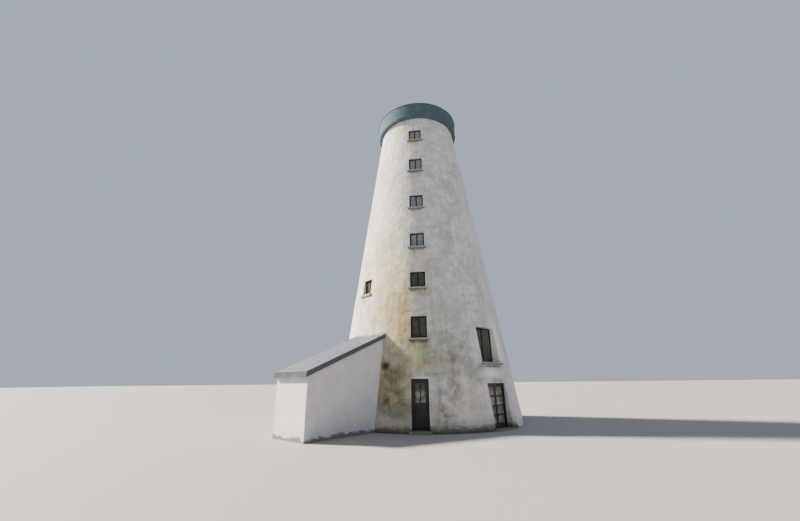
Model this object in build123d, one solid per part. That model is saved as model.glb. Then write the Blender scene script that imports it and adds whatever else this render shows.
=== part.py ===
from build123d import *

import math
import os
from dataclasses import dataclass

os.makedirs("parts", exist_ok=True)

# A round tower mill made into a house, with a lean-to annexe.
# Millimetres, +Z up, origin on the tower's axis at the ground, front door facing -Y.
# An azimuth is counted from -Y, and is positive towards +X.

# Tower wall
TOWER_RADIUS = 5050.0
BATTER = 0.14
WALL_TOP = 18450.0
GROUND_WALL = 600.0
WALL_SET_OFF = 45.0
PLINTH_HEIGHT = 300.0
PLINTH_SETBACK = 25.0
SEGMENTS = 8

# Floors: each upper floor lies on the set-off where the wall gets thinner
GROUND_FLOOR = 40.0
FLOOR_LEVELS = (2650.0, 5350.0, 7750.0, 10200.0, 12750.0, 15350.0)
FLOOR_THICKNESS = 200.0
FLOOR_EDGE_GAP = 5.0

# Small windows: one in each upper storey, front and back
SMALL_WINDOW_WIDTH = 780.0
WINDOW_SILL_HEIGHTS = (1400.0, 1260.0, 1180.0, 1250.0, 1400.0, 1250.0)
WINDOW_HEIGHTS = (1040.0, 830.0, 830.0, 850.0, 900.0, 850.0)
BACK_AZIMUTH = 180.0

# The single window on the left, in the second storey
LEFT_WINDOW_AZIMUTH = -45.0
LEFT_WINDOW_STOREY = 2

# The garden side: glazed doors with a tall window over them
GARDEN_AZIMUTH = 47.5
TALL_WINDOW_WIDTH = 1400.0
TALL_WINDOW_SILL_HEIGHT = 310.0
TALL_WINDOW_HEIGHT = 1670.0
TALL_WINDOW_RECESS = 200.0

# Window joinery
WINDOW_RECESS = 90.0
WINDOW_FRAME_DEPTH = 70.0
WINDOW_FRAME_FACE = 55.0
WINDOW_MULLION = 40.0
WINDOW_GLASS = 14.0
SILL_THICKNESS = 130.0
SILL_PROJECTION = 60.0
SILL_EAR = 90.0
SILL_FALL = 18.0

# Front door
FRONT_DOOR_WIDTH = 785.0
FRONT_DOOR_HEAD = 2210.0
FRONT_STEP_HEIGHT = 100.0
FRONT_STEP_PROJECTION = 150.0
FRONT_STEP_EAR = 90.0
STEP_TOE = 300.0
FRONT_STILE = 95.0
FRONT_TOP_RAIL = 110.0
FRONT_GLASS_SILL = 1200.0
FRONT_GLAZING_BAR = 24.0
FRONT_PANEL_BOTTOM = 330.0
FRONT_PANEL_TOP = 1060.0
PANEL_RECESS = 9.0

# Garden doors: a pair of glazed leaves
GARDEN_DOOR_WIDTH = 1350.0
GARDEN_DOOR_HEAD = 1990.0
GARDEN_STEP_HEIGHT = 40.0
GARDEN_STEP_PROJECTION = 60.0
GARDEN_STEP_EAR = 0.0
GARDEN_STILE = 62.0
GARDEN_TOP_RAIL = 80.0
GARDEN_BOTTOM_RAIL = 190.0
GARDEN_GLAZING_BAR = 30.0
GARDEN_UPPER_RAIL = 62.0
GARDEN_LOWER_PANES = 3
GARDEN_UPPER_PANE = 400.0

# Door joinery
DOOR_RECESS = 55.0
DOOR_FRAME_DEPTH = 90.0
DOOR_JAMB = 55.0
DOOR_LEAF = 48.0
DOOR_STOP = 15.0
STOP_GAP = 6.0
HINGE_GAP = 6.0
LOCK_GAP = 9.0
TOP_GAP = 7.0
THRESHOLD_GAP = 8.0
DOOR_GLASS = 14.0

# Lift-off hinges: a lower knuckle on the frame carries an upper one on the leaf
KNUCKLE_RADIUS = 9.0
KNUCKLE_LENGTH = 55.0
KNUCKLE_FACE_GAP = 0.3
KNUCKLE_STANDOFF = 1.0
HINGE_FLAP = 4.0
HINGE_FLAP_WIDTH = 32.0
HINGE_END_MARGIN = 220.0
FRONT_HINGES = 3
GARDEN_HINGES = 3

# Lever handles
HANDLE_HEIGHT = 950.0
HANDLE_INSET = 36.0
HANDLE_PLATE_WIDTH = 38.0
HANDLE_PLATE_HEIGHT = 210.0
HANDLE_PLATE = 6.0
HANDLE_ROSE_RADIUS = 18.0
HANDLE_ROSE = 12.0
HANDLE_REACH = 46.0
HANDLE_LEVER = 105.0
HANDLE_LEVER_RADIUS = 8.0
HANDLE_BEND_RADIUS = 18.0

# Doorway from the tower into the annexe
INNER_DOORWAY_WIDTH = 760.0
INNER_DOORWAY_HEAD = 2050.0
INNER_DOORWAY_OFFSET = -255.0

# Annexe: its length runs along one azimuth, and its width across it
ANNEXE_AZIMUTH = -33.3
ANNEXE_FRONT = 800.0
ANNEXE_BACK = -1310.0
ANNEXE_END = 8650.0
ANNEXE_WALL = 230.0
ANNEXE_ROOF_REFERENCE = 4500.0
ANNEXE_ROOF_HEIGHT = 4250.0
ANNEXE_ROOF_FALL = 0.41
ANNEXE_ROOF_THICKNESS = 150.0
VERGE_OVERHANG = 80.0
EAVES_OVERHANG = 120.0
ROOF_BOARD = 22.0
ROOF_BOARD_DEPTH = 195.0
ROOF_BOARD_LIP = 18.0
FLASHING = 8.0
FLASHING_HEIGHT = 85.0

# Cap: a soffit ring on the wall, a boarded skirt round it and a low roof
SOFFIT_OVERHANG = 225.0
SOFFIT_THICKNESS = 70.0
SKIRT_HEIGHT = 960.0
SKIRT_THICKNESS = 70.0
CAP_ROOF_OVERHANG = 40.0
CAP_ROOF_THICKNESS = 60.0
CAP_ROOF_RISE = 760.0

# Allowances for the cutting tools only: how far they start from the axis and run past a face
CUT_START = 500.0
CUT_MARGIN = 50.0


def outer_radius(z):
    """Radius of the wall's outer face at a height."""
    return TOWER_RADIUS - BATTER * z


def wall_thickness(storey):
    """Thickness of a storey's wall, measured level."""
    return GROUND_WALL - WALL_SET_OFF * storey


def inner_radius(storey, z):
    """Radius of the room in a storey at a height."""
    return outer_radius(z) - wall_thickness(storey)


def floor_level(storey):
    """Finished level of a storey's floor."""
    return GROUND_FLOOR if storey == 0 else FLOOR_LEVELS[storey - 1]


def storey_bottom(storey):
    """Level where a storey's wall starts: the ground, or the set-off under its floor."""
    return 0.0 if storey == 0 else FLOOR_LEVELS[storey - 1] - FLOOR_THICKNESS


def storey_top(storey):
    """Level where a storey's wall ends."""
    return WALL_TOP if storey == len(FLOOR_LEVELS) else storey_bottom(storey + 1)


@dataclass(frozen=True)
class Opening:
    """A straight-sided opening through the round wall."""

    storey: int
    azimuth: float
    width: float
    low: float
    high: float
    recess: float
    offset: float = 0.0

    def face(self):
        """Distance from the axis to the outer face of the frame, which is upright."""
        corner = abs(self.offset) + self.width / 2
        return math.sqrt(outer_radius(self.high) ** 2 - corner ** 2) - self.recess

    def place(self, shape):
        """Turns a shape drawn at the front to the opening's own azimuth."""
        return Rot(0, 0, self.azimuth) * shape

    def cutter(self, below=0.0):
        """The block that cuts the opening out of the wall."""
        block = Box(self.width, TOWER_RADIUS, self.high - self.low + below,
                    align=(Align.CENTER, Align.MAX, Align.MIN))
        return self.place(Pos(self.offset, -CUT_START, self.low - below) * block)


def small_window(storey, azimuth):
    """The small window of a storey, at an azimuth."""
    low = floor_level(storey) + WINDOW_SILL_HEIGHTS[storey - 1]
    return Opening(storey, azimuth, SMALL_WINDOW_WIDTH, low, low + WINDOW_HEIGHTS[storey - 1], WINDOW_RECESS)


UPPER_STOREYS = range(1, len(FLOOR_LEVELS) + 1)
TALL_WINDOW_LOW = floor_level(1) + TALL_WINDOW_SILL_HEIGHT
TALL_WINDOW = Opening(1, GARDEN_AZIMUTH, TALL_WINDOW_WIDTH, TALL_WINDOW_LOW,
                      TALL_WINDOW_LOW + TALL_WINDOW_HEIGHT, TALL_WINDOW_RECESS)
WINDOWS = [small_window(storey, 0.0) for storey in UPPER_STOREYS]
WINDOWS += [small_window(storey, BACK_AZIMUTH) for storey in UPPER_STOREYS]
WINDOWS += [small_window(LEFT_WINDOW_STOREY, LEFT_WINDOW_AZIMUTH), TALL_WINDOW]

FRONT_DOORWAY = Opening(0, 0.0, FRONT_DOOR_WIDTH, 0.0, FRONT_DOOR_HEAD, DOOR_RECESS)
GARDEN_DOORWAY = Opening(0, GARDEN_AZIMUTH, GARDEN_DOOR_WIDTH, 0.0, GARDEN_DOOR_HEAD, DOOR_RECESS)
INNER_DOORWAY = Opening(0, ANNEXE_AZIMUTH, INNER_DOORWAY_WIDTH, 0.0, INNER_DOORWAY_HEAD, DOOR_RECESS,
                        INNER_DOORWAY_OFFSET)
DOORWAYS = [FRONT_DOORWAY, GARDEN_DOORWAY, INNER_DOORWAY]


def filled(points, plane=Plane.XZ):
    """A face from the corners of its outline."""
    return plane * make_face(Polyline(*points, close=True))


def turned(points, azimuth=0.0, spread=360.0):
    """Revolves an outline of (radius, height) points round the axis, centred on an azimuth."""
    return Rot(0, 0, azimuth - 90 - spread / 2) * revolve(filled(points), Axis.Z, spread)


def outer_edge(low, high):
    """Outline of the wall's outer face between two levels, with the set-back plinth."""
    if low < PLINTH_HEIGHT < high:
        return [(outer_radius(low) - PLINTH_SETBACK, low),
                (outer_radius(PLINTH_HEIGHT) - PLINTH_SETBACK, PLINTH_HEIGHT),
                (outer_radius(PLINTH_HEIGHT), PLINTH_HEIGHT),
                (outer_radius(high), high)]
    return [(outer_radius(low), low), (outer_radius(high), high)]


def wall_outline(storey, low, high):
    """Section of a storey's wall between two levels."""
    return [(inner_radius(storey, low), low)] + outer_edge(low, high) + [(inner_radius(storey, high), high)]


def tower_core(high):
    """The tower as a full solid up to a level, for cutting what leans on it."""
    return turned([(0.0, -CUT_MARGIN), (outer_radius(0) - PLINTH_SETBACK, -CUT_MARGIN)]
                  + outer_edge(0.0, high) + [(0.0, high)])


def room_core(high):
    """The ground room as a full solid past a level, for cutting what reaches into it."""
    low, top = -CUT_MARGIN, high + CUT_MARGIN
    return turned([(0.0, low), (inner_radius(0, low), low), (inner_radius(0, top), top), (0.0, top)])


def in_segment(opening, azimuth):
    """Whether an opening lies in the wall segment centred on an azimuth."""
    away = (opening.azimuth - azimuth + 180) % 360 - 180
    return abs(away) < 180 / SEGMENTS


def wall_segments(storey, azimuths, low, high):
    """The wall segments of a storey between two levels, with their openings cut through."""
    solids = []
    for azimuth in azimuths:
        segment = turned(wall_outline(storey, low, high), azimuth, 360 / SEGMENTS)
        for opening in WINDOWS + DOORWAYS:
            if opening.storey == storey and in_segment(opening, azimuth):
                segment = segment - opening.cutter(SILL_THICKNESS if opening in WINDOWS else 0.0)
        solids += segment.solids()
    return solids


MAIN_AZIMUTHS = [k * 720 / SEGMENTS for k in range(SEGMENTS // 2)]
DIAGONAL_AZIMUTHS = [azimuth + 360 / SEGMENTS for azimuth in MAIN_AZIMUTHS]


def door_segments(azimuths, doorways):
    """Ground storey segments: piers beside each doorway, and the wall over its head."""
    piers, lintels = [], []
    for azimuth in azimuths:
        here = [doorway for doorway in doorways if in_segment(doorway, azimuth)]
        if here:
            head = here[0].high
            piers += wall_segments(0, [azimuth], 0.0, head)
            lintels += turned(wall_outline(0, head, storey_top(0)), azimuth, 360 / SEGMENTS).solids()
        else:
            piers += wall_segments(0, [azimuth], 0.0, storey_top(0))
    return piers, lintels


def floor_disc(storey):
    """An upper floor, resting on the set-off and leaning in with the wall."""
    low, high = storey_bottom(storey), floor_level(storey)
    return turned([(0.0, low), (inner_radius(storey, low) - FLOOR_EDGE_GAP, low),
                   (inner_radius(storey, high) - FLOOR_EDGE_GAP, high), (0.0, high)])


def ground_slab():
    """The ground floor inside the round wall."""
    return turned([(0.0, 0.0), (inner_radius(0, 0.0), 0.0),
                   (inner_radius(0, GROUND_FLOOR), GROUND_FLOOR), (0.0, GROUND_FLOOR)])


def block(x, y, z):
    """A block from its three ranges."""
    size = Box(x[1] - x[0], y[1] - y[0], z[1] - z[0], align=(Align.MIN, Align.MIN, Align.MIN))
    return Pos(x[0], y[0], z[0]) * size


def doorstep(doorway, height, projection, ear):
    """A step through a doorway from the floor's edge to outside, with ears past its sides."""
    half = doorway.width / 2
    front = -outer_radius(0) - projection
    tread = block((-half, half), (front, -inner_radius(0, height) + CUT_MARGIN), (0.0, height))
    tread -= room_core(height)
    if ear > 0:
        apron = block((-half - ear, half + ear), (front, front + projection + STEP_TOE), (0.0, height))
        tread = tread + (apron - tower_core(height + CUT_MARGIN))
    return doorway.place(tread)


def window_frame(window):
    """A frame with one mullion."""
    half = window.width / 2
    y = (-window.face(), -window.face() + WINDOW_FRAME_DEPTH)
    frame = block((-half, half), y, (window.low, window.high))
    for pane in pane_ranges(window):
        frame -= block(pane, y, (window.low + WINDOW_FRAME_FACE, window.high - WINDOW_FRAME_FACE))
    return window.place(frame)


def pane_ranges(window):
    """The widths of the two lights beside the mullion."""
    edge = window.width / 2 - WINDOW_FRAME_FACE
    return (-edge, -WINDOW_MULLION / 2), (WINDOW_MULLION / 2, edge)


def window_panes(window):
    """The glass of a window's two lights."""
    middle = -window.face() + WINDOW_FRAME_DEPTH / 2
    y = (middle - WINDOW_GLASS / 2, middle + WINDOW_GLASS / 2)
    z = (window.low + WINDOW_FRAME_FACE, window.high - WINDOW_FRAME_FACE)
    return [window.place(block(pane, y, z)) for pane in pane_ranges(window)]


def window_sill(window):
    """A sill bedded through the wall, falling outwards, with ears on the wall's face."""
    half = window.width / 2
    low = window.low - SILL_THICKNESS
    nose = -outer_radius(low) - SILL_PROJECTION
    back = -inner_radius(window.storey, window.low) - CUT_MARGIN / 2
    fall = [(back, low), (back, window.low), (-window.face(), window.low),
            (nose, window.low - SILL_FALL), (nose, low)]

    def strip(reach):
        return Pos(-reach, 0, 0) * extrude(filled(fall, Plane.YZ), 2 * reach)

    reach = half + SILL_EAR
    ears = strip(reach) & block((-reach, reach), (nose, -window.face()), (low, window.low))
    return window.place(strip(half) + (ears - tower_core(window.high)))


@dataclass(frozen=True)
class Leaf:
    """A hinged door leaf, drawn at the front with its hinges on the left or the right."""

    doorway: Opening
    left: float
    right: float
    low: float
    high: float
    hinge_side: int

    def inner(self):
        """The y of the leaf's inner face, flush with the frame's."""
        return -self.doorway.face() + DOOR_FRAME_DEPTH

    def outer(self):
        """The y of the leaf's outer face."""
        return self.inner() - DOOR_LEAF

    def hinge_x(self):
        """The x of the hinge line, in the middle of the hinge gap."""
        return self.left - HINGE_GAP / 2 if self.hinge_side < 0 else self.right + HINGE_GAP / 2

    def hinge_y(self):
        """The y of the hinge line, just inside the leaf's inner face."""
        return self.inner() + KNUCKLE_RADIUS + KNUCKLE_STANDOFF

    def hinge_levels(self, count):
        """Levels where the two knuckles of each hinge meet."""
        first, last = self.low + HINGE_END_MARGIN, self.high - HINGE_END_MARGIN
        return [first + k * (last - first) / (count - 1) for k in range(count)]


FRONT_CLEAR = FRONT_DOOR_WIDTH / 2 - DOOR_JAMB
GARDEN_CLEAR = GARDEN_DOOR_WIDTH / 2 - DOOR_JAMB
FRONT_LEAF = Leaf(FRONT_DOORWAY, -FRONT_CLEAR + HINGE_GAP, FRONT_CLEAR - LOCK_GAP,
                  FRONT_STEP_HEIGHT + THRESHOLD_GAP, FRONT_DOOR_HEAD - DOOR_JAMB - TOP_GAP, -1)
GARDEN_LEFT_LEAF = Leaf(GARDEN_DOORWAY, -GARDEN_CLEAR + HINGE_GAP, -LOCK_GAP / 2,
                        GARDEN_STEP_HEIGHT + THRESHOLD_GAP, GARDEN_DOOR_HEAD - DOOR_JAMB - TOP_GAP, -1)
GARDEN_RIGHT_LEAF = Leaf(GARDEN_DOORWAY, LOCK_GAP / 2, GARDEN_CLEAR - HINGE_GAP,
                         GARDEN_STEP_HEIGHT + THRESHOLD_GAP, GARDEN_DOOR_HEAD - DOOR_JAMB - TOP_GAP, 1)


def door_frame(doorway, step_height):
    """Two jambs and a head, with a stop in front of the leaves."""
    half = doorway.width / 2
    clear = half - DOOR_JAMB
    outer, inner = -doorway.face(), -doorway.face() + DOOR_FRAME_DEPTH
    rebate = inner - DOOR_LEAF - STOP_GAP
    frame = block((-half, half), (outer, inner), (step_height, doorway.high))
    frame -= block((-clear, clear), (rebate, inner), (step_height, doorway.high - DOOR_JAMB))
    frame -= block((DOOR_STOP - clear, clear - DOOR_STOP), (outer, inner),
                   (step_height, doorway.high - DOOR_JAMB - DOOR_STOP))
    return doorway.place(frame)


def front_pane_ranges():
    """Widths of the front door's two panes."""
    left, right = FRONT_LEAF.left + FRONT_STILE, FRONT_LEAF.right - FRONT_STILE
    middle = (left + right) / 2
    return (left, middle - FRONT_GLAZING_BAR / 2), (middle + FRONT_GLAZING_BAR / 2, right)


def front_leaf():
    """Half-glazed leaf with a solid lower panel."""
    leaf = FRONT_LEAF
    board = block((leaf.left, leaf.right), (leaf.outer(), leaf.inner()), (leaf.low, leaf.high))
    for pane in front_pane_ranges():
        board -= block(pane, (leaf.outer(), leaf.inner()), (FRONT_GLASS_SILL, leaf.high - FRONT_TOP_RAIL))
    panel = (leaf.left + FRONT_STILE, leaf.right - FRONT_STILE)
    for y in ((leaf.outer(), leaf.outer() + PANEL_RECESS), (leaf.inner() - PANEL_RECESS, leaf.inner())):
        board -= block(panel, y, (FRONT_PANEL_BOTTOM, FRONT_PANEL_TOP))
    return leaf.doorway.place(board)


def glass_range(leaf):
    """The y range of the glass in the middle of a leaf."""
    middle = (leaf.outer() + leaf.inner()) / 2
    return middle - DOOR_GLASS / 2, middle + DOOR_GLASS / 2


def front_glass():
    """The front door's two panes."""
    z = (FRONT_GLASS_SILL, FRONT_LEAF.high - FRONT_TOP_RAIL)
    return [FRONT_DOORWAY.place(block(pane, glass_range(FRONT_LEAF), z)) for pane in front_pane_ranges()]


def garden_pane_rows(leaf):
    """Heights of the panes of a garden door leaf, from the bottom."""
    top = leaf.high - GARDEN_TOP_RAIL
    low, high = leaf.low + GARDEN_BOTTOM_RAIL, top - GARDEN_UPPER_PANE - GARDEN_UPPER_RAIL
    step = (high - low + GARDEN_GLAZING_BAR) / GARDEN_LOWER_PANES
    rows = [(low + k * step, low + (k + 1) * step - GARDEN_GLAZING_BAR) for k in range(GARDEN_LOWER_PANES)]
    return rows + [(top - GARDEN_UPPER_PANE, top)]


def garden_leaf(leaf):
    """A glazed leaf of the garden doors."""
    board = block((leaf.left, leaf.right), (leaf.outer(), leaf.inner()), (leaf.low, leaf.high))
    x = (leaf.left + GARDEN_STILE, leaf.right - GARDEN_STILE)
    for row in garden_pane_rows(leaf):
        board -= block(x, (leaf.outer(), leaf.inner()), row)
    return leaf.doorway.place(board)


def garden_glass(leaf):
    """The panes of a garden door leaf."""
    x = (leaf.left + GARDEN_STILE, leaf.right - GARDEN_STILE)
    return [leaf.doorway.place(block(x, glass_range(leaf), row)) for row in garden_pane_rows(leaf)]


def hinge_half(leaf, level, on_frame):
    """One knuckle with its flap: the frame's stands below the meeting level, the leaf's above it."""
    x, y = leaf.hinge_x(), leaf.hinge_y()
    low = level - KNUCKLE_LENGTH if on_frame else level + KNUCKLE_FACE_GAP
    high = low + KNUCKLE_LENGTH
    knuckle = Pos(x, y, low) * Cylinder(KNUCKLE_RADIUS, KNUCKLE_LENGTH,
                                        align=(Align.CENTER, Align.CENTER, Align.MIN))
    side = leaf.hinge_side if on_frame else -leaf.hinge_side
    end = x + side * (HINGE_GAP / 2 + HINGE_FLAP_WIDTH)
    flap = block((min(x, end), max(x, end)), (leaf.inner(), leaf.inner() + HINGE_FLAP), (low, high))
    return leaf.doorway.place(knuckle + flap)


def hinges(leaf, count, on_frame):
    """The frame's or the leaf's halves of all hinges of a leaf."""
    return [hinge_half(leaf, level, on_frame) for level in leaf.hinge_levels(count)]


def lever_handle(leaf, face, outwards):
    """A lever on its plate, on one face of a leaf."""
    lock_edge = leaf.right if leaf.hinge_side < 0 else leaf.left
    x = lock_edge + leaf.hinge_side * HANDLE_INSET
    z = leaf.low + HANDLE_HEIGHT
    half = HANDLE_PLATE_WIDTH / 2
    plate_y = sorted((face, face + outwards * HANDLE_PLATE))
    plate = block((x - half, x + half), plate_y, (z - HANDLE_PLATE_HEIGHT / 2, z + HANDLE_PLATE_HEIGHT / 2))
    reach = face + outwards * HANDLE_REACH
    path = FilletPolyline((x, face, z), (x, reach, z), (x + leaf.hinge_side * HANDLE_LEVER, reach, z),
                          radius=HANDLE_BEND_RADIUS)
    start = Plane(origin=(x, face, z), z_dir=(0, outwards, 0))
    lever = sweep(start * Circle(HANDLE_LEVER_RADIUS), path=path)
    rose = start * Cylinder(HANDLE_ROSE_RADIUS, HANDLE_ROSE, align=(Align.CENTER, Align.CENTER, Align.MIN))
    return leaf.doorway.place(plate + rose + lever)


def handle_pair(leaf):
    """The levers outside and inside a leaf."""
    return [lever_handle(leaf, leaf.outer(), -1), lever_handle(leaf, leaf.inner(), 1)]


def roof_top(q):
    """Height of the annexe roof's upper face at a distance from the tower's axis."""
    return ANNEXE_ROOF_HEIGHT - ANNEXE_ROOF_FALL * (q - ANNEXE_ROOF_REFERENCE)


def sloped(x, start, end, above, below):
    """A slab under or over the annexe roof's upper face, between two distances from the axis."""
    side = [(-start, roof_top(start) + above), (-end, roof_top(end) + above),
            (-end, roof_top(end) + below), (-start, roof_top(start) + below)]
    return Pos(x[0], 0, 0) * extrude(filled(side, Plane.YZ), x[1] - x[0])


def annexe_place(shape):
    """Turns a shape drawn at the front to the annexe's azimuth."""
    return Rot(0, 0, ANNEXE_AZIMUTH) * shape


ANNEXE_START = TOWER_RADIUS - ANNEXE_ROOF_REFERENCE * BATTER - GROUND_WALL
EAVES = ANNEXE_END + EAVES_OVERHANG
ROOF_LEFT = ANNEXE_BACK - VERGE_OVERHANG
ROOF_RIGHT = ANNEXE_FRONT + VERGE_OVERHANG
LEAN_TO_CORE_TOP = roof_top(ANNEXE_START) + FLASHING_HEIGHT + CUT_MARGIN


def annexe_wall(x, start, end):
    """An annexe wall from the ground to the roof's underside."""
    under = -ANNEXE_ROOF_THICKNESS
    side = [(-start, 0.0), (-end, 0.0), (-end, roof_top(end) + under), (-start, roof_top(start) + under)]
    wall = Pos(x[0], 0, 0) * extrude(filled(side, Plane.YZ), x[1] - x[0])
    return annexe_place(wall - tower_core(LEAN_TO_CORE_TOP))


def annexe_side_walls():
    """The front and back walls, fitted to the round tower."""
    return [annexe_wall((ANNEXE_FRONT - ANNEXE_WALL, ANNEXE_FRONT), ANNEXE_START, ANNEXE_END),
            annexe_wall((ANNEXE_BACK, ANNEXE_BACK + ANNEXE_WALL), ANNEXE_START, ANNEXE_END)]


def annexe_end_wall():
    """The outer end wall between the side walls."""
    x = (ANNEXE_BACK + ANNEXE_WALL, ANNEXE_FRONT - ANNEXE_WALL)
    return annexe_wall(x, ANNEXE_END - ANNEXE_WALL, ANNEXE_END)


def annexe_floor():
    """The annexe's floor, with a tongue through the doorway to the tower's floor."""
    room = block((ANNEXE_BACK + ANNEXE_WALL, ANNEXE_FRONT - ANNEXE_WALL),
                 (ANNEXE_WALL - ANNEXE_END, -ANNEXE_START), (0.0, GROUND_FLOOR))
    room -= tower_core(GROUND_FLOOR + CUT_MARGIN)
    half = INNER_DOORWAY_WIDTH / 2
    tongue = block((INNER_DOORWAY_OFFSET - half, INNER_DOORWAY_OFFSET + half),
                   (-outer_radius(0) - CUT_MARGIN, -CUT_START), (0.0, GROUND_FLOOR))
    tongue -= room_core(GROUND_FLOOR)
    return annexe_place(room + tongue)


def annexe_roof():
    """The mono-pitch roof, cut round the tower."""
    slab = sloped((ROOF_LEFT, ROOF_RIGHT), ANNEXE_START, EAVES, 0.0, -ANNEXE_ROOF_THICKNESS)
    return annexe_place(slab - tower_core(LEAN_TO_CORE_TOP))


def annexe_roof_boards():
    """Verge boards down both sides and a fascia across the eaves, in one piece."""
    boards = sloped((ROOF_LEFT - ROOF_BOARD, ROOF_RIGHT + ROOF_BOARD), ANNEXE_START, EAVES + ROOF_BOARD,
                    ROOF_BOARD_LIP, -ROOF_BOARD_DEPTH)
    boards -= sloped((ROOF_LEFT, ROOF_RIGHT), ANNEXE_START, EAVES, ROOF_BOARD_LIP + CUT_MARGIN,
                     -ROOF_BOARD_DEPTH - CUT_MARGIN)
    return annexe_place(boards - tower_core(LEAN_TO_CORE_TOP))


def annexe_flashing():
    """A lead strip on the tower wall, following the top of the annexe roof."""
    low, high = storey_bottom(0), LEAN_TO_CORE_TOP
    skin = turned([(outer_radius(low), low), (outer_radius(low) + FLASHING, low),
                   (outer_radius(high) + FLASHING, high), (outer_radius(high), high)])
    band = sloped((ROOF_LEFT, ROOF_RIGHT), ANNEXE_START, outer_radius(0), FLASHING_HEIGHT, 0.0)
    return annexe_place(skin & band)


SKIRT_RADIUS = outer_radius(WALL_TOP) + SOFFIT_OVERHANG
SKIRT_LOW = WALL_TOP + SOFFIT_THICKNESS
SKIRT_TOP = SKIRT_LOW + SKIRT_HEIGHT


def ring(inner, outer, low, high):
    """An upright ring round the axis."""
    return turned([(inner, low), (outer, low), (outer, high), (inner, high)])


def cap_soffit():
    """A ring on top of the wall, reaching out to carry the skirt."""
    return ring(inner_radius(len(FLOOR_LEVELS), WALL_TOP), SKIRT_RADIUS, WALL_TOP, SKIRT_LOW)


def cap_skirt():
    """The boarded band round the cap."""
    return ring(SKIRT_RADIUS - SKIRT_THICKNESS, SKIRT_RADIUS, SKIRT_LOW, SKIRT_TOP)


def cap_roof():
    """A low round dome, a shell between two spheres about one centre on the axis."""
    rim = SKIRT_RADIUS + CAP_ROOF_OVERHANG
    radius = (rim ** 2 + CAP_ROOF_RISE ** 2) / (2 * CAP_ROOF_RISE)
    centre = CAP_ROOF_RISE - radius
    start = math.degrees(math.asin(-centre / radius))
    inner_start = math.degrees(math.asin(-centre / (radius - CAP_ROOF_THICKNESS)))
    outside = CenterArc((0.0, centre), radius, start, 90 - start)
    inside = CenterArc((0.0, centre), radius - CAP_ROOF_THICKNESS, inner_start, 90 - inner_start)
    section = make_face([outside, Line(outside @ 1, inside @ 1), inside, Line(inside @ 0, outside @ 0)])
    return Pos(0, 0, SKIRT_TOP) * revolve(Plane.XZ * section, Axis.Z, 360)


def write(name, shapes):
    """Writes one node, made of one solid or of several that don't touch."""
    solids = [solid for shape in shapes for solid in shape.solids()]
    for solid in solids:
        solid.label = name
    shape = solids[0] if len(solids) == 1 else Compound(label=name, children=solids)
    export_step(shape, f"parts/{name}.step")


main_piers, main_lintels = door_segments(MAIN_AZIMUTHS, [FRONT_DOORWAY])
diagonal_piers, diagonal_lintels = door_segments(DIAGONAL_AZIMUTHS, [GARDEN_DOORWAY, INNER_DOORWAY])
write("ground_main_walls", main_piers)
write("ground_diagonal_walls", diagonal_piers)
write("front_door_lintel", main_lintels)
write("side_door_lintels", diagonal_lintels)

for storey in UPPER_STOREYS:
    span = (storey_bottom(storey), storey_top(storey))
    write(f"storey_{storey}_main_walls", wall_segments(storey, MAIN_AZIMUTHS, *span))
    write(f"storey_{storey}_diagonal_walls", wall_segments(storey, DIAGONAL_AZIMUTHS, *span))

write("ground_floor", [ground_slab()])
write("upper_floors", [floor_disc(storey) for storey in UPPER_STOREYS])
write("door_steps", [doorstep(FRONT_DOORWAY, FRONT_STEP_HEIGHT, FRONT_STEP_PROJECTION, FRONT_STEP_EAR),
                     doorstep(GARDEN_DOORWAY, GARDEN_STEP_HEIGHT, GARDEN_STEP_PROJECTION, GARDEN_STEP_EAR)])

write("window_frames", [window_frame(window) for window in WINDOWS])
write("window_glass", [pane for window in WINDOWS for pane in window_panes(window)])
write("window_sills", [window_sill(window) for window in WINDOWS])

write("front_door_frame", [door_frame(FRONT_DOORWAY, FRONT_STEP_HEIGHT)])
write("front_door_leaf", [front_leaf()])
write("front_door_glass", front_glass())
write("front_door_handle", handle_pair(FRONT_LEAF))
write("front_door_hinges", hinges(FRONT_LEAF, FRONT_HINGES, False))

write("garden_door_frame", [door_frame(GARDEN_DOORWAY, GARDEN_STEP_HEIGHT)])
write("garden_door_left_leaf", [garden_leaf(GARDEN_LEFT_LEAF)])
write("garden_door_left_glass", garden_glass(GARDEN_LEFT_LEAF))
write("garden_door_left_hinges", hinges(GARDEN_LEFT_LEAF, GARDEN_HINGES, False))
write("garden_door_right_leaf", [garden_leaf(GARDEN_RIGHT_LEAF)])
write("garden_door_right_glass", garden_glass(GARDEN_RIGHT_LEAF))
write("garden_door_right_hinges", hinges(GARDEN_RIGHT_LEAF, GARDEN_HINGES, False))
write("garden_door_handle", handle_pair(GARDEN_RIGHT_LEAF))
write("frame_hinges", hinges(FRONT_LEAF, FRONT_HINGES, True) + hinges(GARDEN_LEFT_LEAF, GARDEN_HINGES, True)
      + hinges(GARDEN_RIGHT_LEAF, GARDEN_HINGES, True))

write("annexe_side_walls", annexe_side_walls())
write("annexe_end_wall", [annexe_end_wall()])
write("annexe_floor", [annexe_floor()])
write("annexe_roof", [annexe_roof()])
write("annexe_roof_boards", [annexe_roof_boards()])
write("annexe_flashing", [annexe_flashing()])

write("cap_soffit", [cap_soffit()])
write("cap_skirt", [cap_skirt()])
write("cap_roof", [cap_roof()])
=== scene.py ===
"""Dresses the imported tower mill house.

It has a limewashed round tower with a dark cap and dark joinery, and a lean-to annexe.
"""

import logging
import math
from abc import ABC, abstractmethod
from dataclasses import dataclass
from enum import Enum
from typing import Callable, Optional, Union

import bpy
from mathutils import Matrix, Vector


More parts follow.
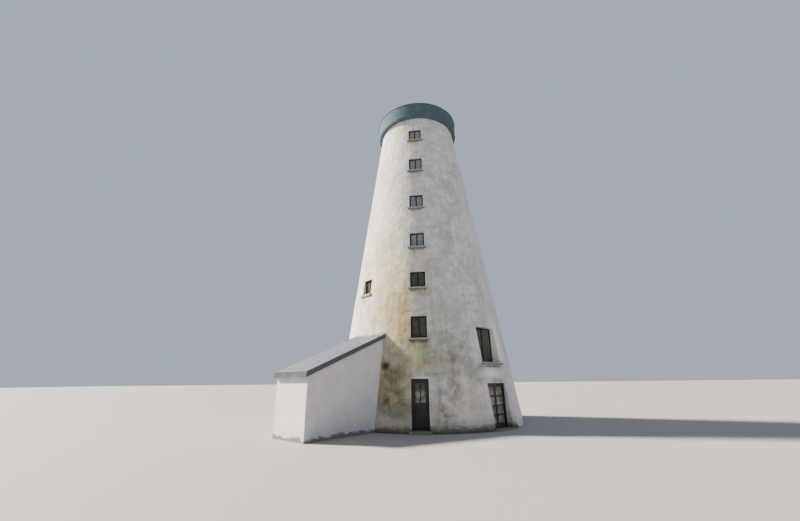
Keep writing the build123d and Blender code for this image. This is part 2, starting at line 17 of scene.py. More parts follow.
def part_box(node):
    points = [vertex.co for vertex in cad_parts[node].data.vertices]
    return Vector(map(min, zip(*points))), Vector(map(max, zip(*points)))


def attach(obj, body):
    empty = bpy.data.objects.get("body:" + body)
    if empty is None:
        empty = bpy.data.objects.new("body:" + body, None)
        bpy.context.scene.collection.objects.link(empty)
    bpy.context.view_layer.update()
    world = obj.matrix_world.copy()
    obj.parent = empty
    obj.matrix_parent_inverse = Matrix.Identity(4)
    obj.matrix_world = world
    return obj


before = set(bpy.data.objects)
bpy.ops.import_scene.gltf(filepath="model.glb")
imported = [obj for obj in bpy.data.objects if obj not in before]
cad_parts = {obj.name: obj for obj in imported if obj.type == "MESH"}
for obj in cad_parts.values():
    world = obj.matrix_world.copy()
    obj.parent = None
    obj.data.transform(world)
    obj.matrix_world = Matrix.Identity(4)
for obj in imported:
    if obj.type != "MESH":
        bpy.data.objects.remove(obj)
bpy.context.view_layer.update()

LOG = logging.getLogger("mill_house")
MM = 0.001
UP = Vector((0.0, 0.0, 1.0))
# Multiplying by it lays a vector flat
FLAT = (1.0, 1.0, 0.0)

Face = bpy.types.MeshPolygon
Material = bpy.types.Material
Piece = bpy.types.Object
Socket = bpy.types.NodeSocket
Value = Union[float, tuple, str, Socket]
Links = Union[dict, tuple]

# Node settings that recur
TIMES = {"operation": "MULTIPLY"}
TIMES_PLUS = {"operation": "MULTIPLY_ADD"}
PLUS = {"operation": "ADD"}
LESS = {"operation": "SUBTRACT"}
SCALED = {"operation": "SCALE"}
# Settings that a kind of node always has here
ALWAYS = {"MapRange": {"interpolation_type": "SMOOTHSTEP"}, "Mix": {"data_type": "RGBA"}}
# Where a Mix node of colours has its factor, its two colours and its result
MIX_FACTOR, MIX_GROUND, MIX_TINT, MIX_RESULT = 0, 6, 7, 2


class Body(Enum):
    """The bodies that a piece can ride on."""

    BUILDING = "building"
    FRONT_DOOR = "front_door"
    GARDEN_LEFT = "garden_door_left"
    GARDEN_RIGHT = "garden_door_right"


class Slot(Enum):
    """The record's material slots; nothing in this script gives them to the new pieces."""

    JOINERY = "dark_joinery"
    ROOF = "roof_covering"
    CAP_BOARDING = "cap_boarding"
    CAP_COVERING = "cap_covering"


class Coat(Enum):
    """How a tint lies on a colour: a darkening tint multiplies what is under it, and a covering tint lies
    over it in part. Both lay dirt and washes, and both lay painted light.
    """

    DIRT = "MULTIPLY"
    WASH = "MIX"


def linear(code: str) -> tuple:
    """Turns an sRGB hex colour to linear red, green, blue and full alpha, as a shader takes them."""
    parts = [int(code[k:k + 2], 16) / 255 for k in (1, 3, 5)]
    return tuple(c / 12.92 if c <= 0.04045 else ((c + 0.055) / 1.055) ** 2.4 for c in parts) + (1.0,)


def node(tree: bpy.types.NodeTree, kind: str, links: Links = (), **settings: object) -> bpy.types.Node:
    """Adds a node with its settings, values and links.

    Args:
        tree: The tree that gets the node.
        kind: The node's type without its ShaderNode prefix.
        links: A value, hex colour or output for each input, by name or number, or in the node's order.
        settings: Properties to set on the node first.

    Returns:
        The new node.
    """
    made = tree.nodes.new("ShaderNode" + kind)
    for name, value in {**ALWAYS.get(kind, {}), **settings}.items():
        setattr(made, name, value)
    for key, value in links.items() if isinstance(links, dict) else enumerate(links):
        if isinstance(value, Socket):
            tree.links.new(value, made.inputs[key])
        else:
            made.inputs[key].default_value = linear(value) if isinstance(value, str) else value
    return made


class Finish(ABC):
    """What every finish shares: a tree with a principled shader, and the patterns drawn on it."""

    name: str

    def build(self) -> Material:
        """Builds the material.

        Returns:
            The finished material.
        """
        material = bpy.data.materials.new(self.name)
        material.use_nodes = True
        self.tree = material.node_tree
        self.tree.nodes.clear()
        self.place = self.at = self.add("TexCoord", out="Object")
        self.height = self.add("SeparateXYZ", (self.place,), "Z")
        self.draw()
        return material

    @abstractmethod
    def draw(self) -> None:
        """Draws the patterns, lays them on the colour and finishes the shader."""

    def add(self, kind: str, links: Links = (), out: Union[int, str] = 0, **settings: object) -> Socket:
        """Adds a node to this finish's tree, and gives the output of a name or number."""
        return node(self.tree, kind, links, **settings).outputs[out]

    def noise(self, grain: float, tall: float = 1.0, detail: float = 4.0, low: float = 0.35,
              high: float = 0.65, wide: float = 1.0) -> Socket:
        """A soft-edged mask of spots.

        Args:
            grain: The size of one spot in metres.
            tall: How many times taller the spots are.
            detail: How many finer layers the noise has.
            low: The noise value that becomes 0.
            high: The noise value that becomes 1.
            wide: How many times longer the spots are along x.

        Returns:
            The mask.
        """
        scale = (1.0 / (grain * wide), 1.0 / grain, 1.0 / (grain * tall))
        at = self.add("Mapping", {"Vector": self.at, "Scale": scale})
        spots = self.add("TexNoise", {"Vector": at, "Scale": 1.0, "Detail": detail, "Roughness": 0.6})
        return self.add("MapRange", (spots, low, high))

    def relief(self, size: float, detail: float, depth: float, below: Optional[Socket] = None) -> Socket:
        """An uneven surface.

        Args:
            size: The size of one rise in metres.
            detail: How many finer layers the noise has.
            depth: How deep it is in metres.
            below: A coarser relief that it lies on.

        Returns:
            The bumped normal.
        """
        rises = self.add("TexNoise", {"Vector": self.place, "Scale": 1.0 / size, "Detail": detail})
        links = {"Height": rises, "Distance": depth}
        if below is not None:
            links["Normal"] = below
        return self.add("Bump", links)

    def under(self, levels: tuple, reach: float) -> Socket:
        """How near a place is below some levels.

        Args:
            levels: The levels in metres.
            reach: How far below a level the mask ends.

        Returns:
            A mask that is 1 at each level, 0 above it, and falls to 0 at the reach below it.
        """
        nearest: Value = 0.0
        for level in levels:
            depth = self.add("Math", (level, self.height), **LESS)
            near = self.add("MapRange", (depth, reach, 0.0))
            below = self.add("MapRange", (depth, -15 * MM, 0.0))
            near = self.add("Math", (near, below), **TIMES)
            nearest = self.add("Math", (nearest, near), operation="MAXIMUM")
        return nearest

    def laid(self, ground: Value, tint: Value, mask: Value, *shares: Value,
             coat: Coat = Coat.WASH) -> Socket:
        """Lays a tint on a colour.

        Args:
            ground: The colour that it lies on.
            tint: The colour that is laid on it.
            mask: Where it lies, from 0 to 1.
            shares: More masks and strengths, which multiply the first one.
            coat: How it lies there.

        Returns:
            The two colours together.
        """
        for share in shares:
            mask = self.add("Math", (mask, share), **TIMES)
        links = {MIX_FACTOR: mask, MIX_GROUND: ground, MIX_TINT: tint}
        return self.add("Mix", links, MIX_RESULT, blend_type=coat.value)

    def over(self, tint: Value, *masks: Value, coat: Coat = Coat.WASH) -> None:
        """Lays a tint on this finish's own colour."""
        self.colour = self.laid(self.colour, tint, *masks, coat=coat)

    def finish(self, roughness: Value, normal: Optional[Socket] = None, **more: Value) -> None:
        """Adds the shader with this finish's colour, and the output.

        Args:
            roughness: The roughness.
            normal: The relief, where there is one.
            more: Values for other inputs, with underscores for the spaces in their names.
        """
        links = {name.replace("_", " "): value for name, value in more.items()}
        links.update({"Base Color": self.colour, "Roughness": roughness})
        if normal is not None:
            links["Normal"] = normal
        node(self.tree, "OutputMaterial", {"Surface": self.add("BsdfPrincipled", links)})


@dataclass(frozen=True)
class WallTint:
    """A soft-edged patch on the round wall, a stain or a patch of painted light or shade: its place, half
    sizes, strength and colour.
    """

    azimuth: float
    height: float
    reach: float
    drop: float
    strength: float
    tint: str
    coat: Coat = Coat.DIRT
    ragged: float = 0.6


@dataclass
class LimewashedRender(Finish):
    """Limewash brushed over old cement render: chalky, uneven, streaked by rain, green where damp, with
    patches of painted light and shade on the front wall.
    """

    name: str = "limewash over cement render"
    # The wall is unrolled at this radius, which it has 4.6 m above the ground.
    radius: float = 4.4
    lime: str = "#C3C6C6"
    chalk: str = "#E0E1E1"
    worn: str = "#A0A3A1"
    rain: str = "#9C9B96"
    algae: str = "#B3B596"
    grime: str = "#A9A592"
    filler: str = "#D6D4CE"
    soil: str = "#777061"
    tar: str = "#453F37"
    moss: str = "#8C8878"
    sill_moss: str = "#7C7A5C"
    # Real sand and rain streaks are too fine to show in the render, so both are drawn this coarse.
    sand: float = 35.71 * MM
    streak: float = 150 * MM
    hollow: float = 454.5 * MM
    # The side that faces the rain, in degrees of azimuth
    weather_side: float = -125.0
    # The height of one lift of the render, and the length and height of its joints' waves
    lift: float = 1.9
    wave: tuple = (833.3 * MM, 350 * MM)
    # The size of the rags at the stains' edges, and where the edges are clear and full, in half sizes
    rag: float = 416.7 * MM
    edge: tuple = (1.25, 0.15)
    # Stains, and patches of painted light and shade, on the front wall
    stains_and_painted_light: tuple = ()
    # The heights of the sills with runs below them, and how long and half as wide the runs are
    sills: tuple = ()
    sill_run: float = 0.9
    sill_half: float = 0.44
    # Filled cracks: their side in degrees, the angles from it and the heights between which they
    # fade in, and the sizes of their wobble and of the pieces between them
    crack_side: float = 26.0
    crack_spread: tuple = (0.38, 0.2)
    crack_top: tuple = (2.5, 1.95)
    crack_wobble: float = 333.3 * MM
    crack_piece: float = 588.2 * MM
    # The dirty foot's height, the side where it is clean, and the angles between which it rises
    splash_top: float = 0.18
    clean_side: float = 85.0
    clean_spread: tuple = (0.36, 0.48)

    def draw(self) -> None:
        """Puts on the layers, from the first coat to the splashes at the foot."""
        self.unroll()
        self.breaks = self.noise(0.12, 3.0, 6.0, high=0.62)
        self.brush()
        self.weather()
        self.wall_tint()
        self.drip()
        self.crack()
        self.splash()
        stucco = self.relief(self.sand, 4.0, 7 * MM, self.relief(self.hollow, 3.0, 45 * MM))
        self.finish(0.93, stucco, Specular_IOR_Level=0.2)

    def unroll(self) -> None:
        """Finds the azimuth, the place on the unrolled wall and that on an upright round one."""
        axes = node(self.tree, "SeparateXYZ", (self.place,)).outputs
        front = self.add("Math", (axes["Y"], -1.0), **TIMES)
        self.azimuth = self.add("Math", (axes["X"], front), operation="ARCTAN2")
        arc = self.add("Math", (self.azimuth, self.radius), **TIMES)
        self.chart = self.add("CombineXYZ", (arc, self.height))
        flat = self.add("VectorMath", (self.place, FLAT), **TIMES)
        ring = self.add("VectorMath", (flat,), operation="NORMALIZE")
        ring = self.add("VectorMath", {0: ring, "Scale": self.radius}, **SCALED)
        rise = self.add("CombineXYZ", {"Z": self.height})
        self.at = self.add("VectorMath", (ring, rise), **PLUS)

    def angle_from(self, side: float) -> Socket:
        """How far round the wall a place is, in radians, from a side given in degrees."""
        turn = self.add("Math", (self.azimuth, math.radians(side)), **LESS)
        return self.add("Math", (turn,), operation="ABSOLUTE")

    def brush(self) -> None:
        """Limewash put on unevenly: clouds, thin places and a grain of sand showing through."""
        self.colour = self.laid(self.lime, self.chalk, self.noise(1.3))
        self.over(self.worn, self.noise(0.42, 0.7, 7.0, 0.42, 0.68), 0.6)
        self.over(self.worn, self.noise(0.06, 1.3), 0.3)

    def weather(self) -> None:
        """Rain streaks, a greener, dirtier lower wall and faint joints between the render's lifts."""
        facing = self.add("Math", (self.angle_from(self.weather_side),), operation="COSINE")
        facing = self.add("MapRange", (facing, 0.3, 0.9))
        streaks = self.noise(self.streak, 12.0, 5.0, 0.47, 0.7)
        for tint, least, most, coat in ((self.rain, 0.35, 0.8, Coat.WASH),
                                        (self.grime, 0.0, 0.6, Coat.DIRT)):
            self.over(tint, streaks, self.add("MapRange", (facing, 0.0, 1.0, least, most)), coat=coat)

        share = self.add("MapRange", (self.height, 13.0, 3.0, 0.2, 0.5))
        share = self.add("Math", (facing, 0.4, share), **TIMES_PLUS)
        self.over(self.algae, self.noise(0.6, 5.0, 4.0, 0.48, 0.72), share, coat=Coat.DIRT)

        low = self.add("MapRange", (self.height, 5.2, 1.2))
        self.over(self.grime, low, self.noise(0.5, 1.0, 6.0, 0.4, 0.6), 0.5, coat=Coat.DIRT)

        length, rise = self.wave
        waver = self.add("TexNoise", {"Vector": self.at, "Scale": 1.0 / length, "Detail": 3.0})
        level = self.add("Math", (waver, rise, self.height), **TIMES_PLUS)
        joint = self.add("Math", (level, self.lift / 2), operation="PINGPONG")
        joint = self.add("MapRange", (joint, 35 * MM, 0.0))
        self.over(self.rain, joint, self.noise(0.9, low=0.5, high=0.6), 0.3)

    def wall_tint(self) -> None:
        """The stains and the patches of painted light and shade that the front wall has, each at its own
        place.
        """
        noise = self.add("TexNoise", {"Vector": self.at, "Scale": 1.0 / self.rag, "Detail": 6.0,
                                      "Roughness": 0.7}, "Color")
        jitter = self.add("VectorMath", (noise, (0.5, 0.5, 0.5)), **LESS)
        for wall_tint in self.stains_and_painted_light:
            kept = self.add("MapRange", (self.breaks, 0.0, 1.0, 1.0 - 0.55 * wall_tint.ragged, 1.0))
            self.over(wall_tint.tint, self.patch(jitter, wall_tint), kept, coat=wall_tint.coat)

    def patch(self, jitter: Socket, wall_tint: WallTint) -> Socket:
        """The mask of a stain or a patch of painted light on the unrolled wall.

        Args:
            jitter: Noise about nought that makes the edge ragged.
            wall_tint: The stain or patch of painted light to draw.

        Returns:
            The mask, already at the stain's strength.
        """
        arc = math.radians(wall_tint.azimuth) * self.radius
        scale = (1.0 / wall_tint.reach, 1.0 / wall_tint.drop, 0.0)
        move = (-arc / wall_tint.reach, -wall_tint.height / wall_tint.drop, 0.0)
        at = self.add("Mapping", {"Vector": self.chart, "Location": move, "Scale": scale})
        shake = self.add("VectorMath", {0: jitter, "Scale": 2.0 * wall_tint.ragged}, **SCALED)
        at = self.add("VectorMath", (at, shake), **PLUS)
        at = self.add("VectorMath", (at, FLAT), **TIMES)
        away = self.add("VectorMath", (at,), "Value", operation="LENGTH")
        return self.add("MapRange", (away, *self.edge, 0.0, wall_tint.strength))

    def drip(self) -> None:
        """Moss right under the sills of the front and back windows, and the runs that hang from it."""
        arc = self.add("Math", (self.azimuth, math.pi / 2), operation="PINGPONG")
        arc = self.add("Math", (arc, self.radius), **TIMES)
        beside = self.add("MapRange", (arc, self.sill_half + 0.12, self.sill_half - 0.05))
        run = self.add("Math", (self.under(self.sills, self.sill_run), beside), **TIMES)
        hung = self.add("MapRange", (run, 0.0, 0.8, 0.0, 0.35))
        self.over(self.algae, hung, self.breaks, coat=Coat.DIRT)
        self.over(self.sill_moss, self.add("MapRange", (run, 0.92, 0.98, 0.0, 0.55)), coat=Coat.DIRT)

    def crack(self) -> None:
        """Cracks made good with pale filler, low on the right of the front door."""
        wobble = self.add("TexNoise", {"Vector": self.at, "Scale": 1.0 / self.crack_wobble,
                                       "Detail": 4.0}, "Color")
        bent = self.add("VectorMath", {0: wobble, "Scale": 0.5}, **SCALED)
        bent = self.add("VectorMath", (self.at, bent), **PLUS)
        away = self.add("TexVoronoi", {"Vector": bent, "Scale": 1.0 / self.crack_piece},
                        feature="DISTANCE_TO_EDGE")
        line = self.add("MapRange", (away, 0.12, 0.03))
        beside = self.add("MapRange", (self.angle_from(self.crack_side), *self.crack_spread))
        low = self.add("MapRange", (self.height, *self.crack_top))
        self.over(self.filler, line, self.noise(0.4, low=0.42, high=0.56), low, beside, 0.75)

    def splash(self) -> None:
        """The foot of the wall: tar and soil with moss on it, and a ragged upper edge."""
        beside = self.angle_from(self.clean_side)
        top = self.add("MapRange", (beside, *self.clean_spread, 0.0, self.splash_top))
        ragged = self.noise(0.25, 0.5, 6.0, 0.3, 0.7)
        edge = self.add("Math", (top, self.add("Math", (ragged, 0.6, 1.0), **TIMES_PLUS)), **TIMES)
        above = self.add("Math", (self.height, edge), **LESS)
        self.over(self.grime, self.add("MapRange", (above, 0.0, 0.45, 0.25, 0.0)), coat=Coat.DIRT)
        foot = self.laid(self.soil, self.moss, self.noise(0.4, 0.5, 6.0, 0.44, 0.58), 0.8)
        foot = self.laid(foot, self.tar, self.noise(0.35, 0.6, 5.0, 0.52, 0.64), 0.6)
        lowest = self.add("MapRange", (self.height, 0.02, 0.17, 0.75, 0.0))
        foot = self.laid(foot, self.tar, lowest)
        self.over(foot, self.add("MapRange", (above, -0.08, 0.08, 1.0, 0.0)))


@dataclass
class SmoothRender(Finish):
    """New sand and cement render under masonry paint: flat and even, with a dull damp line at its foot."""

    name: str = "masonry paint on smooth render"
    paint: str = "#DAD8DB"
    shade: str = "#CDCBCF"
    damp: str = "#4A453F"
    dust: str = "#8F7F76"
    sand: float = 16.67 * MM
    float_mark: float = 625 * MM

    def draw(self) -> None:
        """Draws the paint's clouds and faint runs, the damp foot and the dust splashed above it."""
        self.colour = self.laid(self.paint, self.shade, self.noise(0.7, 1.2, 5.0))
        self.over(self.damp, self.noise(0.14, 9.0, low=0.5, high=0.75), 0.02)
        ragged = self.noise(0.3, 0.6, 5.0, 0.3, 0.7)
        above = self.add("Math", (ragged, -0.16, self.height), **TIMES_PLUS)
        self.over(self.damp, self.add("MapRange", (above, 0.0, 0.12, 0.8, 0.0)))
        low = self.add("MapRange", (self.height, 0.9, 0.1, 0.0, 0.22))
        self.over(self.dust, low, self.noise(0.25, 1.0, 6.0, 0.3, 0.6))
        floated = self.relief(self.float_mark, 2.0, 10 * MM)
        self.finish(0.8, self.relief(self.sand, 3.0, 1.2 * MM, floated), Specular_IOR_Level=0.3)


@dataclass
class RoofingSlate(Finish):
    """Split roofing slate, bleached by weather: flaky, matt and slightly different from slate to slate."""

    name: str = "weathered roofing slate"
    pale: str = "#5E6777"
    blue: str = "#4D5666"
    lichen: str = "#6B6D6C"
    flake: float = 40 * MM

    def draw(self) -> None:
        """Draws each slate's own tint, the lichen and the flaky face."""
        each = self.add("NewGeometry", out="Random Per Island")
        self.colour = self.laid(self.pale, self.blue, each)
        self.over(self.lichen, self.noise(0.12, low=0.5, high=0.7), 0.6)
        flakes = self.add("TexNoise", {"Vector": self.place, "Scale": 1.0 / self.flake, "Detail": 6.0})
        rough = self.add("MapRange", (flakes, 0.3, 0.7, 0.55, 0.75))
        bump = self.add("Bump", {"Height": flakes, "Distance": 3 * MM})
        self.finish(rough, bump, Specular_IOR_Level=0.3)


@dataclass
class PaintedSoftwood(Finish):
    """Planed softwood under dark gloss gone dull: grain just shows, and edges are chalked by sun."""

    name: str = "dull gloss paint on softwood"
    paint: str = "#070708"
    chalked: str = "#1C1C1E"
    grain: float = 9 * MM
    length: float = 30.0
    roughness: float = 0.42
    index: float = 1.5

    def draw(self) -> None:
        """Draws the chalked places and the grain."""
        worn = self.noise(0.35, low=0.45, high=0.75)
        lines = self.noise(self.grain, self.length, 4.0, 0.3, 0.7)
        self.colour = self.laid(self.paint, self.chalked, worn, 0.5)
        self.over(self.chalked, lines, 0.2)
        rough = self.add("MapRange", (worn, 0.0, 1.0, self.roughness, self.roughness + 0.2))
        self.finish(rough, self.add("Bump", {"Height": lines, "Distance": 0.8 * MM}), IOR=self.index)


@dataclass
class FloatGlass(Finish):
    """Float glass in sealed units: clear, faintly wavy where it is old, with a film of dust, and painted
    sky and ground reflections laid on it as diffuse films.
    """

    name: str = "float glass"
    tint: str = "#D3D8D2"
    haze: str = "#9C9A88"
    sheen: str = "#9599A0"
    index: float = 1.45
    wave: float = 200 * MM
    # Panes too high to reach keep a blue-grey film, partly dirt and partly painted sky reflection, from
    # the first height on, full from the second.
    film: str = "#96A0AE"
    film_rise: tuple = (7.6, 9.0)
    # Rain splashes dirt on the door panes, laid with a pinkish painted reflection of the ground, none
    # above the first height, most below the second.
    splash: str = "#B9ABA6"
    splash_and_reflection_line: tuple = (1.8, 1.55)

    def draw(self) -> None:
        """Draws the haze, the film on the high panes and the splashes, which all take light away; the film
        and the splashes are partly painted reflection.
        """
        dust = self.noise(0.2, low=0.4, high=0.8)
        haze = self.add("MapRange", (dust, 0.0, 1.0, 0.1, 0.2))
        high = self.add("MapRange", (self.height, *self.film_rise))
        film = self.add("MapRange", (dust, 0.0, 1.0, 0.48, 0.56))
        film = self.add("Math", (high, film), **TIMES)
        low = self.add("MapRange", (self.height, *self.splash_and_reflection_line))
        spots = self.add("Math", (low, self.noise(0.25, 1.0, 1.0, 0.1, 0.8)), **TIMES)
        splash = self.add("Math", (spots, 0.55), **TIMES)
        self.colour = self.laid(self.tint, self.haze, haze, 5.0)
        self.over(self.film, film, 1.9)
        self.over(self.splash, splash, 1.7)
        cover = self.add("Math", (haze, self.add("Math", (film, splash), **PLUS)), **PLUS)
        rough = self.add("MapRange", (dust, 0.0, 1.0, 0.01, 0.07))
        self.finish(rough, self.relief(self.wave, 1.0, 0.15 * MM), IOR=self.index,
                    Specular_Tint=self.sheen,
                    Transmission_Weight=self.add("Math", (1.0, cover), **LESS))


@dataclass
class CastStone(Finish):
    """Cast stone or worn step stone: sandy, dirty at its arrises and green where water hangs under it."""

    name: str = "cast stone sill"
    body: str = "#A9A99C"
    dirt: str = "#7C7E6E"
    moss: str = "#66695A"
    share: float = 0.5
    sand: float = 12.5 * MM
    # The undersides' heights, and how far up from them the stone stays wet
    feet: tuple = ()
    wet: float = 40 * MM

    def draw(self) -> None:
        """Draws the dirt, the moss at each foot and the mossy undersides."""
        self.colour = self.laid(self.body, self.dirt, self.noise(0.13, 0.6, 6.0, high=0.6), self.share)
        if self.feet:
            wet = self.under(tuple(foot + self.wet for foot in self.feet), 5 * self.wet)
            self.over(self.moss, wet, self.noise(0.07, low=0.25, high=0.5))
        facing = self.add("SeparateXYZ", (self.add("NewGeometry", out="Normal"),), "Z")
        self.over(self.moss, self.add("MapRange", (facing, -0.2, -0.8, 0.0, 0.9)))
        self.finish(0.88, self.relief(self.sand, 4.0, 2 * MM))


@dataclass
class SheetLead(Finish):
    """Milled lead sheet, dressed by hand: dull grey with pale bloom and soft dents."""

    name: str = "dressed lead sheet"
    body: str = "#6B6F75"
    bloom: str = "#8B8E91"
    roughness: float = 0.55
    bare: float = 0.35
    index: float = 1.5
    dent: float = 142.9 * MM

    def draw(self) -> None:
        """Draws the bloom and the dents."""
        bloom = self.noise(0.3, 1.8, 5.0, 0.4, 0.7)
        self.colour = self.laid(self.body, self.bloom, bloom)
        rough = self.add("MapRange", (bloom, 0.0, 1.0, self.roughness, 0.85))
        self.finish(rough, self.relief(self.dent, 3.0, 8 * MM), Metallic=self.bare, IOR=self.index)


@dataclass
class BlackIron(Finish):
    """Black-finished door furniture: a thin waxed coat over iron, worn bright where hands rub."""

    name: str = "black waxed iron"
    coat: str = "#161514"
    rubbed: str = "#4A4743"
    mark: float = 6.25 * MM

    def draw(self) -> None:
        """Draws the rubbed edges and the hammer marks."""
        edge = self.add("MapRange", (self.add("NewGeometry", out="Pointiness"), 0.52, 0.58))
        self.colour = self.laid(self.coat, self.rubbed, edge, self.noise(0.01, high=0.6))
        marks = self.add("TexNoise", {"Vector": self.place, "Scale": 1.0 / self.mark, "Detail": 2.0})
        rough = self.add("MapRange", (marks, 0.3, 0.7, 0.38, 0.55))
        self.finish(rough, self.add("Bump", {"Height": marks, "Distance": 0.4 * MM}), Metallic=0.6)


@dataclass
class PineBoards(Finish):
    """Wide pine floorboards, sanded and waxed: warm, with knots and a dark line at each joint."""

    name: str = "waxed pine boards"
    pale: str = "#B48C5C"
    dark: str = "#8A6238"
    gap: str = "#2A1C10"
    board: float = 160 * MM

    def draw(self) -> None:
        """Draws the grain along the boards and the gaps between them."""
        grain = self.noise(0.02, detail=5.0, low=0.3, high=0.7, wide=30.0)
        self.colour = self.laid(self.pale, self.dark, grain)
        across = self.add("SeparateXYZ", (self.place,), "Y")
        joint = self.add("Math", (across, self.board / 2), operation="PINGPONG")
        self.over(self.gap, self.add("MapRange", (joint, 1.5 * MM, 3 * MM, 1.0, 0.0)))
        edge = self.add("MapRange", (joint, 0.0, 4 * MM))
        self.finish(0.45, self.add("Bump", {"Height": edge, "Distance": 3 * MM}))


@dataclass
class FloatedScreed(Finish):
    """Power-floated screed, sealed: grey with cloudy trowel burnish."""

    name: str = "floated cement screed"
    pale: str = "#8F8C86"
    dark: str = "#77746E"

    def draw(self) -> None:
        """Draws the clouds, which are also the relief and the burnish."""
        cloud = self.noise(0.6, detail=6.0)
        self.colour = self.laid(self.pale, self.dark, cloud)
        rough = self.add("MapRange", (cloud, 0.0, 1.0, 0.5, 0.7))
        self.finish(rough, self.add("Bump", {"Height": cloud, "Distance": 1 * MM}))


@dataclass
class StudioPaper(Finish):
    """The plain pale floor that the building stands on."""

    name: str = "pale studio floor"
    pale: str = "#969492"

    def draw(self) -> None:
        """Leaves the floor plain."""
        self.colour = self.pale
        self.finish(0.9)


@dataclass(frozen=True)
class Slab:
    """An upright box read from the frame: its middle, its outward direction and its three sizes."""

    centre: Vector
    out: Vector
    width: float
    depth: float
    height: float

    @property
    def across(self) -> Vector:
        """The level direction along the width, to the right of someone facing it from outside."""
        return Vector((-self.out.y, self.out.x, 0.0))

    @property
    def foot(self) -> float:
        """The height of its underside, to the centimetre."""
        return round(self.centre.z - self.height / 2, 2)

    @property
    def azimuth(self) -> float:
        """The azimuth that it faces, in degrees from -Y towards +X."""
        return math.degrees(math.atan2(self.out.x, -self.out.y))

    def matrix(self) -> Matrix:
        """Takes x across, y inwards and z up from the slab's middle to the house's frame."""
        axes = Matrix((self.across, -self.out, UP)).transposed()
        return Matrix.Translation(self.centre) @ axes.to_4x4()


def islands(mesh: bpy.types.Mesh) -> list[list[Face]]:
    """Sorts a mesh's faces by the solid that they belong to.

    Args:
        mesh: A mesh whose solids share no corner.

    Returns:
        The faces of each solid.
    """
    solids: list = []
    for face in mesh.polygons:
        corners = {tuple(round(c, 5) for c in mesh.vertices[i].co) for i in face.vertices}
        touching = [solid for solid in solids if not corners.isdisjoint(solid[0])]
        solids = [solid for solid in solids if corners.isdisjoint(solid[0])]
        solids.append((corners.union(*(solid[0] for solid in touching)),
                       sum((solid[1] for solid in touching), []) + [face]))
    return [faces for _, faces in solids]


def slab_of(mesh: bpy.types.Mesh, faces: list[Face]) -> Slab:
    """Measures one upright solid.

    Args:
        mesh: The mesh that it is in.
        faces: Its faces.

    Returns:
        The slab, which faces away from the tower's axis on its largest upright side.
    """
    areas: dict = {}
    for face in faces:
        if abs(face.normal.z) < 0.01:
            key = tuple(round(c, 2) for c in face.normal)
            normal, area = areas.get(key, (Vector(), 0.0))
            areas[key] = (normal + face.normal * face.area, area + face.area)
    out = max(areas.values(), key=lambda pair: pair[1])[0].normalized()
    points = [mesh.vertices[i].co for face in faces for i in face.vertices]
    if out.dot(sum(points, Vector()) / len(points)) < 0:
        out = -out
    axes = (Vector((-out.y, out.x, 0.0)), out, UP)
    spans = [(min(p.dot(a) for p in points), max(p.dot(a) for p in points)) for a in axes]
    centre = sum((axis * (low + high) / 2 for axis, (low, high) in zip(axes, spans)), Vector())
    return Slab(centre, out, *(high - low for low, high in spans))


def solids_of(name: str) -> list[Slab]:
    """Measures the separate upright solids of a CAD node."""
    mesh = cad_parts[name].data
    return [slab_of(mesh, faces) for faces in islands(mesh)]


def select(*pieces: Piece) -> None:
    """Selects only these pieces and makes the first one active.

    Args:
        pieces: The pieces to select.
    """
    bpy.ops.object.select_all(action="DESELECT")
    for piece in pieces:
        piece.select_set(True)
    bpy.context.view_layer.objects.active = pieces[0]


def block(name: str, size: tuple, centre: tuple) -> Piece:
    """Adds a block.

    Args:
        name: The piece's name.
        size: Its size along x, y and z.
        centre: Its middle.

    Returns:
        The block, with its origin at the frame's own.
    """
    bpy.ops.object.select_all(action="DESELECT")
    bpy.ops.mesh.primitive_cube_add(size=1.0, location=centre, scale=size)
    bpy.ops.object.transform_apply(location=True, rotation=True, scale=True)
    piece = bpy.context.object
    piece.name = name
    return piece


def work(piece: Piece, test: Callable[[Face], bool], task: Callable[[], object]) -> None:
    """Runs edit-mode operators on the faces that pass a test.

    Args:
        piece: The piece to work on.
        test: Says whether a face takes part.
        task: Calls the operators.
    """
    select(piece)
    bpy.ops.object.mode_set(mode="EDIT")
    bpy.ops.mesh.select_mode(type="FACE")
    bpy.ops.mesh.select_all(action="DESELECT")
    bpy.ops.object.mode_set(mode="OBJECT")
    for face in piece.data.polygons:
        face.select = test(face)
    bpy.ops.object.mode_set(mode="EDIT")
    task()
    bpy.ops.object.mode_set(mode="OBJECT")


def modify(piece: Piece, kind: str, **settings: object) -> None:
    """Gives a piece a modifier and applies it.

    Args:
        piece: The piece to change.
        kind: The modifier's type.
        settings: Its properties.
    """
    select(piece)
    modifier = piece.modifiers.new(kind.lower(), kind)
    for name, value in settings.items():
        setattr(modifier, name, value)
    bpy.ops.object.modifier_apply(modifier=modifier.name)


def soften(piece: Piece, width: float, segments: int = 1) -> None:
    """Rounds a piece's arrises."""
    modify(piece, "BEVEL", width=width, segments=segments, limit_method="ANGLE")


def row(piece: Piece, count: int, step: tuple) -> None:
    """Repeats a piece along a step."""
    modify(piece, "ARRAY", count=count, use_relative_offset=False, use_constant_offset=True,
           constant_offset_displace=step)


def trim(piece: Piece, point: tuple, normal: tuple) -> None:
    """Cuts away what lies on the normal's side of a plane, and closes the cut."""
    work(piece, lambda face: True, lambda: bpy.ops.mesh.bisect(
        plane_co=point, plane_no=normal, clear_outer=True, use_fill=True))


def around(piece: Piece, count: int) -> None:
    """Repeats a whole piece round the tower's axis."""
    turn = 2 * math.pi * (count - 1) / count
    work(piece, lambda face: True, lambda: bpy.ops.mesh.spin(
        steps=count - 1, dupli=True, angle=turn, center=(0, 0, 0), axis=UP))


